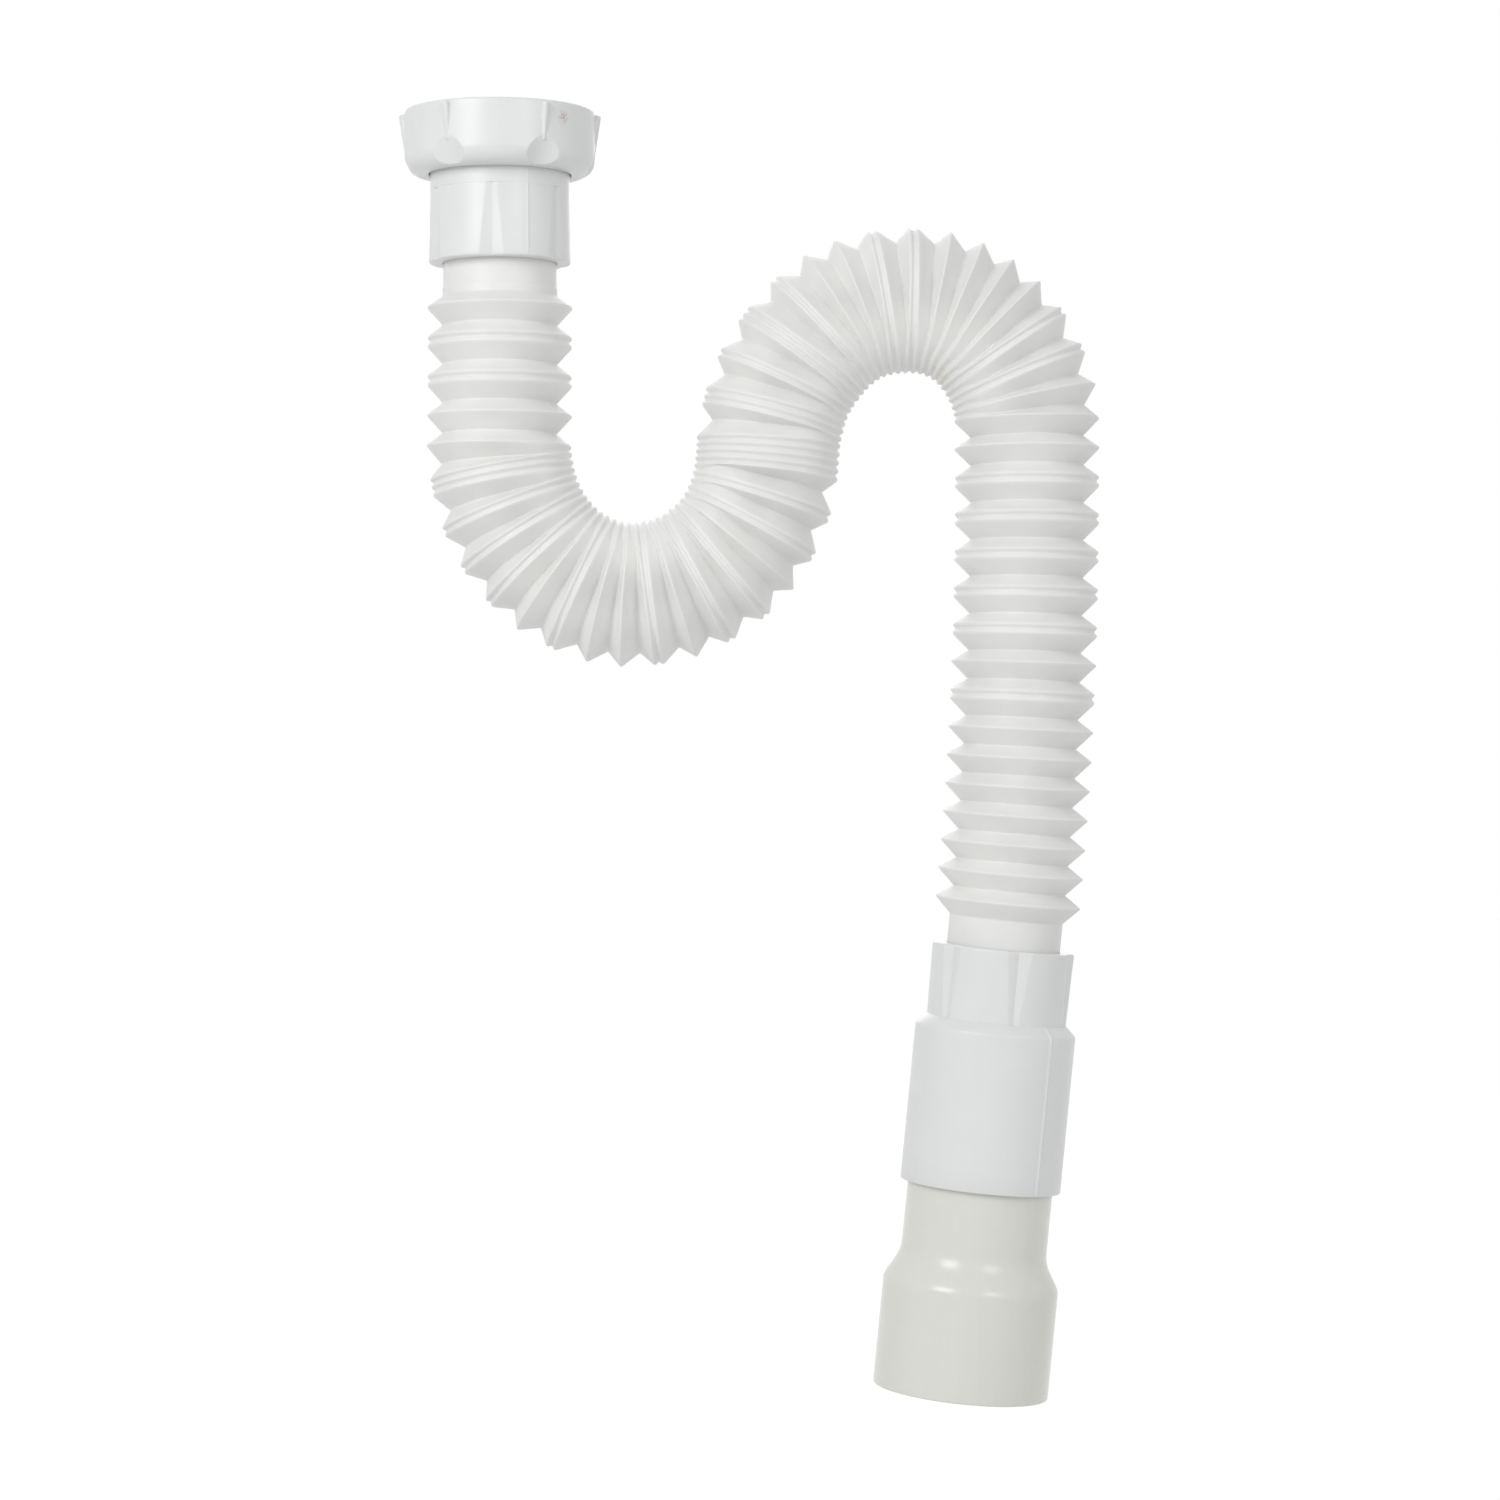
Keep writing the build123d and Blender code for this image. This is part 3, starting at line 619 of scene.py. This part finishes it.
def outlet_sleeve():
    """Sleeve of the outlet: a fluted collar, a shoulder with soft edges and a plain socket for the tail."""
    edge_at = (COLLAR_END_R - COLLAR_EDGE_R, -COLLAR_EDGE_R)
    edge = arc(edge_at, COLLAR_EDGE_R, 90, 0, COLLAR_EDGE_ROWS)
    collar = run((COLLAR_END_R, -COLLAR_EDGE_R - BELOW_ROUND), (COLLAR_R, -COLLAR_LENGTH), COLLAR_ROWS)
    shoulder = np.array(from_corner(COLLAR_R, -COLLAR_LENGTH, SHOULDER_FOOT)
                        + from_corner(SLEEVE_R, SLEEVE_TOP_Z, SHOULDER_EDGE))
    lip = np.array(from_corner(SLEEVE_R, SLEEVE_END_Z, SLEEVE_LIP))
    wall = run((SLEEVE_R, SLEEVE_TOP_Z - SLEEVE_WALL_DROP), lip[0], SLEEVE_WALL_ROWS)
    stop_z = NECK_END_Z + NECK_CLEARANCE
    inside = np.array(from_corner(NECK_SOCKET_R, SLEEVE_END_Z, NECK_SOCKET_LIP)
                      + [(NECK_SOCKET_R, stop_z), (NECK_BORE_R, stop_z), (BORE_R, stop_z + PASSAGE_LENGTH)]
                      + seal_groove(0, -1)[::-1] + [(SOCKET_R, 0)])
    section = np.concatenate([edge, collar, shoulder, wall, lip, inside])
    share = 1 + section[:, 1] / COLLAR_LENGTH
    first = len(edge) + len(collar) + 1
    share[first:] = -1
    radius, angle = fluted(section[:, 0], share, SLEEVE_FLUTE_ANGLE)
    shown = np.zeros(len(section))
    shown[first:first + len(shoulder) + len(wall) + len(lip) - 2] = 1
    shown[first:first + len(SHOULDER_FOOT)] = SHOULDER_SEAM_SHARE
    radius = radius + shown[:, None] * seam_lift(angle, SLEEVE_FLUTE_ANGLE)
    return piece_from_grid("sleeve_body", turned(radius, section[:, 1:], angle, OUTLET_SEAT), COLLAR_CREASE)


def flare(inset):
    """S-curve from the neck to the bell: a cubic ease, held back so that it is tighter at the bell."""
    t = np.linspace(0, 1, FLARE_ROWS)
    radius = NECK_R + (BELL_R - NECK_R) * smooth_step(t ** FLARE_LATE, 0, 1) - inset
    return np.stack([radius, FLARE_TOP_Z + (FLARE_END_Z - FLARE_TOP_Z) * t], -1)


def outlet_tail():
    """Section of the tail carried round its axis: neck with its ring groove, flare, bell and bore."""
    ring_foot = TAIL_RING_TOP_Z - TAIL_RING_WIDTH
    ring_r = NECK_R - TAIL_RING_DEPTH
    neck = [
        (NECK_BORE_R, NECK_END_Z), (NECK_R - TAIL_LIP, NECK_END_Z), (NECK_R, NECK_END_Z - TAIL_LIP),
        (NECK_R, TAIL_RING_TOP_Z), (ring_r, TAIL_RING_TOP_Z), (ring_r, ring_foot), (NECK_R, ring_foot),
        (NECK_R, FLARE_TOP_Z + TAIL_STRAIGHT),
    ]
    lip_z = TAIL_END_Z + TAIL_LIP
    rim = arc((BELL_R - TAIL_LIP, lip_z), TAIL_LIP, 0, -90, TAIL_LIP_ROWS)
    bell = run((BELL_R, FLARE_END_Z - TAIL_STRAIGHT), (BELL_R, lip_z), BELL_ROWS)
    bore_r = BELL_R - TAIL_WALL
    inside = [(bore_r + TAIL_LIP, TAIL_END_Z), (bore_r, lip_z), (bore_r, FLARE_END_Z - TAIL_BORE_STRAIGHT)]
    section = np.concatenate([neck, flare(0), bell, rim, inside, flare(TAIL_WALL)[::-1]])
    angle = np.linspace(0, 360, TAIL_COLUMNS, endpoint=False)
    return piece_from_grid("tail_body", turned(section[:, :1], section[:, 1:], angle, OUTLET_SEAT))


class Shade:
    """A number or colour in one finish. Arithmetic on it adds Math nodes, so a pattern is a formula."""

    def __init__(self, finish, socket):
        self.finish = finish
        self.socket = socket

    def _math(self, operation, first, second):
        return self.finish.node("Math", {"operation": operation}, {0: first, 1: second})

    def __add__(self, other):
        return self._math("ADD", self, other)

    __radd__ = __add__

    def __sub__(self, other):
        return self._math("SUBTRACT", self, other)

    def __rsub__(self, other):
        return self._math("SUBTRACT", other, self)

    def __mul__(self, other):
        return self._math("MULTIPLY", self, other)

    __rmul__ = __mul__

    def __truediv__(self, other):
        return self._math("DIVIDE", self, other)

    def between(self, low, high):
        """0 at low, 1 at high, clamped. low may be the larger."""
        settings = {"clamp": True, "interpolation_type": "SMOOTHSTEP"}
        return self.finish.node("MapRange", settings, {0: self, 1: low, 2: high, 3: 0.0, 4: 1.0})


class Finish:
    """One material: its nodes are made by node(), and its shader's sockets are set by surface()."""

    def __init__(self, name):
        self.material = bpy.data.materials.new(name)
        self.material.use_nodes = True
        self.tree = self.material.node_tree
        self.shader = self.tree.nodes["Principled BSDF"]

    def node(self, kind, settings, inputs, output=0):
        """Adds a node with these settings and socket values, and returns one of its outputs."""
        made = self.tree.nodes.new("ShaderNode" + kind)
        for name, value in settings.items():
            setattr(made, name, value)
        for key, value in inputs.items():
            self.feed(made.inputs[key], value)
        return Shade(self, made.outputs[output])

    def feed(self, socket, value):
        """Links a shade to a socket, or sets the socket to a plain value."""
        if isinstance(value, Shade):
            self.tree.links.new(value.socket, socket)
        else:
            socket.default_value = value

    def surface(self, **sockets):
        """Sets the shader's sockets, named with _ for a space."""
        for name, value in sockets.items():
            self.feed(self.shader.inputs[name.replace("_", " ")], value)
        return self.material

    def place(self):
        """Object coordinates, in metres."""
        return self.node("TexCoord", {}, {}, 3)

    def stretched(self, scale):
        """Object coordinates scaled along each axis."""
        return self.node("Mapping", {}, {"Vector": self.place(), "Scale": scale})

    def noise(self, scale, detail=2.0, vector=None):
        """Cloudy noise from 0 to 1, with this many clouds in a metre."""
        where = vector or self.place()
        return self.node("TexNoise", {}, {"Vector": where, "Scale": scale, "Detail": detail})

    def near(self, point, inner, outer):
        """1 within the inner distance of a point in millimetres, fading to 0 at the outer one."""
        middle = [v * MM for v in point]
        away = self.node("VectorMath", {"operation": "DISTANCE"}, {0: self.place(), 1: middle}, 1)
        return away.between(outer * MM, inner * MM)

    def mix(self, share, first, second):
        """Colour that goes from the first to the second as share goes from 0 to 1."""
        return self.node("Mix", {"data_type": "RGBA"}, {0: share, 6: first, 7: second}, 2)

    def bump(self, height, strength, depth_mm):
        """Normal of a surface with this height, from 0 to 1, over a depth in millimetres."""
        return self.node("Bump", {}, {"Strength": strength, "Distance": depth_mm * MM, "Height": height})


def moulded_white(name, smudged=False):
    """Smooth white moulding: faint clouds of tone, fine flow marks and a low, uneven sheen."""
    finish = Finish(name)
    cloud = finish.noise(scale=70, detail=3)
    flow = finish.noise(scale=1, detail=4, vector=finish.stretched((420, 420, 40)))
    tone = (cloud * 0.7 + flow * 0.3).between(0.35, 0.65)
    colour = finish.mix(tone, FITTING_WHITE, FITTING_COOL)
    if smudged:
        ragged = finish.noise(scale=1900, detail=4).between(0.48, 0.58)
        mark = finish.near(SMUDGE_POINT, inner=0.3, outer=2.4) * ragged * 0.8
        colour = finish.mix(mark, colour, SMUDGE_PINK)
    grain = finish.noise(scale=2600)
    normal = finish.bump(grain * 0.5 + flow * 0.5, strength=0.12, depth_mm=0.05)
    return finish.surface(Base_Color=colour, Roughness=0.3 + 0.1 * cloud, Normal=normal)


def blown_white():
    """Satin white of the hose: a painted highlight makes it a little paler on the crests, with a yellowed
    patch inside the arch.
    """
    finish = Finish("hose satin white")
    cloud = finish.noise(scale=55, detail=3)
    colour = finish.mix(cloud.between(0.35, 0.65), HOSE_WHITE, HOSE_COOL)
    depth = finish.node("Attribute", {"attribute_name": "fold_depth"}, {}, 2)
    # Painted highlight: where fold_depth is near 0, on the crests, the colour is mixed towards a paler white
    colour = finish.mix(depth.between(0.12, 0.0) * 0.4, colour, HOSE_CREST_HIGHLIGHT)
    ragged = finish.noise(scale=500, detail=3).between(0.4, 0.6)
    stain = finish.near(YELLOW_POINT, inner=1.0, outer=7.5) * ragged * 0.45
    colour = finish.mix(stain, colour, HOSE_YELLOW)
    grain = finish.noise(scale=1700, detail=3)
    normal = finish.bump(grain, strength=0.15, depth_mm=0.06)
    return finish.surface(Base_Color=colour, Roughness=0.42 + 0.1 * cloud, Normal=normal)


def drawn_grey():
    """Glossier warm grey of the tail, with faint draw lines along its length."""
    finish = Finish("tail gloss grey")
    cloud = finish.noise(scale=45, detail=3)
    lines = finish.noise(scale=1, detail=3, vector=finish.stretched((700, 700, 12)))
    colour = finish.mix((cloud * 0.6 + lines * 0.4).between(0.35, 0.65), TAIL_GREY, TAIL_WARM)
    grain = finish.noise(scale=900)
    normal = finish.bump(lines * 0.6 + grain * 0.4, strength=0.1, depth_mm=0.05)
    return finish.surface(Base_Color=colour, Roughness=0.2 + 0.06 * cloud, Normal=normal)


def seal_rubber():
    """Dull black rubber with a fine matt grain."""
    finish = Finish("seal rubber")
    grain = finish.noise(scale=2400, detail=4)
    colour = finish.mix(grain, RUBBER_BLACK, RUBBER_GREY)
    normal = finish.bump(grain, strength=0.3, depth_mm=0.05)
    return finish.surface(Base_Color=colour, Roughness=0.6 + 0.2 * grain, Normal=normal)


def finished(piece, body, node, material):
    """A rigid piece that stands for a node, rides on its body and wears its material."""
    piece.data.materials.append(material)
    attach(piece, body)
    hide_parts(node)


def dress_rubber():
    """The washer and the sealing rings keep their own solids and get the rubber finish."""
    rubber = seal_rubber()
    for node in ("inlet_washer", "inlet_cuff_seal", "outlet_cuff_seal", "tail_ring"):
        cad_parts[node].data.materials.clear()
        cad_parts[node].data.materials.append(rubber)


def soft_lamp(name, place, aim, size, power):
    """Large square lamp, at a place in millimetres, that faces a point."""
    light = bpy.data.lights.new(name, "AREA")
    light.size = size * MM
    light.energy = power
    lamp = bpy.data.objects.new(name, light)
    bpy.context.scene.collection.objects.link(lamp)
    lamp.location = [v * MM for v in place]
    lamp.rotation_euler = facing_angles(np.array(aim, float) - np.array(place, float))


def facing_angles(facing):
    """Euler angles that turn an object's -Z to a direction, with its +Y kept up."""
    flat = math.hypot(facing[0], facing[1])
    return (math.atan2(flat, -facing[2]), 0, math.atan2(-facing[0], facing[1]))


def background_rays(tree):
    """1 for the rays that meet the white background: those from the camera, off gloss and through glass."""
    path = tree.nodes.new("ShaderNodeLightPath")
    share = path.outputs["Is Camera Ray"]
    for ray in ("Is Glossy Ray", "Is Transmission Ray"):
        either = tree.nodes.new("ShaderNodeMath")
        either.operation = "MAXIMUM"
        tree.links.new(share, either.inputs[0])
        tree.links.new(path.outputs[ray], either.inputs[1])
        share = either.outputs[0]
    return share


def white_studio():
    """Pale floor below the part, a white background, and soft lamps at the front left, front right and back.

    The background is white for the rays that background_rays names. All others get the sky's softer light.
    """
    bpy.ops.mesh.primitive_plane_add(size=FLOOR_SIZE_M, location=(AIM[0] * MM, 0, FLOOR_Z * MM))
    floor = bpy.context.object
    floor.name = "floor"
    pale = Finish("pale floor")
    seen = Shade(pale, background_rays(pale.tree))
    pale.surface(Base_Color=FLOOR_PALE, Roughness=0.9)
    lit = Shade(pale, pale.shader.outputs[0])
    glow = pale.node("Emission", {}, {"Color": WHITE, "Strength": FLOOR_GLOW})
    shown = pale.node("MixShader", {}, {0: seen * FLOOR_GLOW_SHARE, 1: lit, 2: glow})
    pale.feed(pale.tree.nodes["Material Output"].inputs["Surface"], shown)
    floor.data.materials.append(pale.material)
    world = bpy.data.worlds.new("studio")
    bpy.context.scene.world = world
    world.use_nodes = True
    tree = world.node_tree
    sky = tree.nodes["Background"]
    sky.inputs["Color"].default_value = WHITE
    sky.inputs["Strength"].default_value = SKY_STRENGTH
    backdrop = tree.nodes.new("ShaderNodeBackground")
    backdrop.inputs["Color"].default_value = WHITE
    choice = tree.nodes.new("ShaderNodeMixShader")
    tree.links.new(background_rays(tree), choice.inputs[0])
    tree.links.new(sky.outputs[0], choice.inputs[1])
    tree.links.new(backdrop.outputs[0], choice.inputs[2])
    tree.links.new(choice.outputs[0], tree.nodes["World Output"].inputs["Surface"])
    for name, place, size, power in LAMPS:
        soft_lamp(name, place, (AIM[0], 0, AIM[1]), size, power)


def photo_camera():
    """Level camera that looks along +Y at the middle of the photograph."""
    camera = bpy.data.objects.new("camera", bpy.data.cameras.new("camera"))
    bpy.context.scene.collection.objects.link(camera)
    distance = FOCAL_PIXELS * PHOTO_SCALE
    camera.location = (AIM[0] * MM, -distance * MM, AIM[1] * MM)
    camera.rotation_euler = (math.pi / 2, 0, 0)
    camera.data.sensor_width = SENSOR_MM
    camera.data.lens = SENSOR_MM * FOCAL_PIXELS / PHOTO_SIZE
    camera.data.clip_start = CLIP_START_M
    bpy.context.scene.camera = camera


photo_camera()
white_studio()
bpy.context.scene.view_settings.view_transform = "Standard"
satin = blown_white()
for length in bellows_hose():
    length.data.materials.append(satin)
finished(union_nut(), "nut", "inlet_nut", moulded_white("nut white", smudged=True))
fitting = moulded_white("fitting white")
finished(inlet_ferrule(), "inlet", "inlet_ferrule", fitting)
finished(outlet_sleeve(), "outlet", "outlet_sleeve", fitting)
finished(outlet_tail(), "tail", "outlet_tail", drawn_grey())
dress_rubber()
